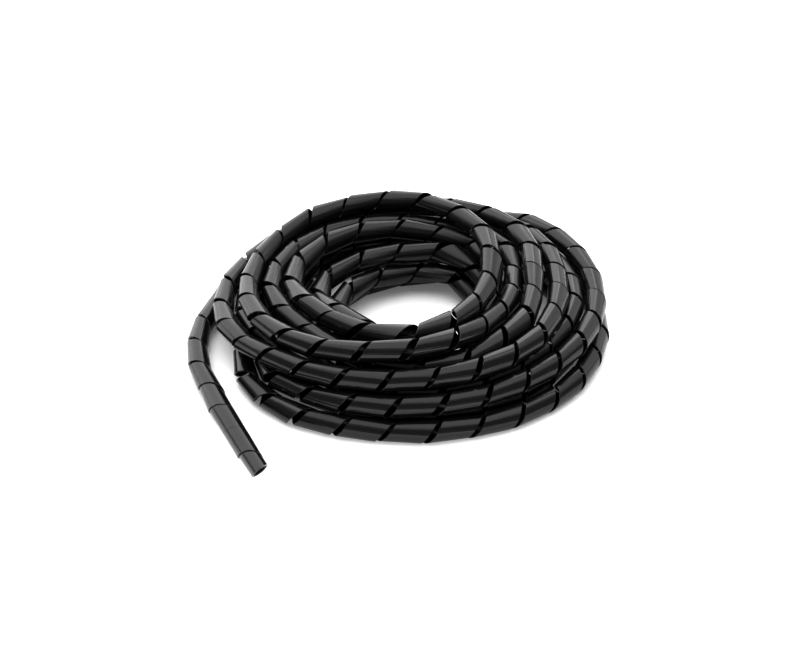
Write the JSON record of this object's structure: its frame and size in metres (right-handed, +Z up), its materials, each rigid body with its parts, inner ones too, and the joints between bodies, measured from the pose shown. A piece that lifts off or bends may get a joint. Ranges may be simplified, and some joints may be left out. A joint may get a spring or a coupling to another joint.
{
  "type": "spiral cable wrap",
  "caption": "Black polyethylene spiral wrap lying in a loose round coil, with one free end whose open bore takes a cable bundle.",
  "frame": {"origin": "on the floor that the coil lies on, under the middle of the box round the coil and its free end", "axes": "+Z up from the floor the coil lies on; the cut face of the free end looks along -Y"},
  "size_m": [0.2584, 0.2346, 0.0491],
  "materials": {
    "black_polyethylene": "gloss"
  },
  "bodies": {
    "root": {"spiral_wrap": "black_polyethylene"}
  },
  "joints": []
}
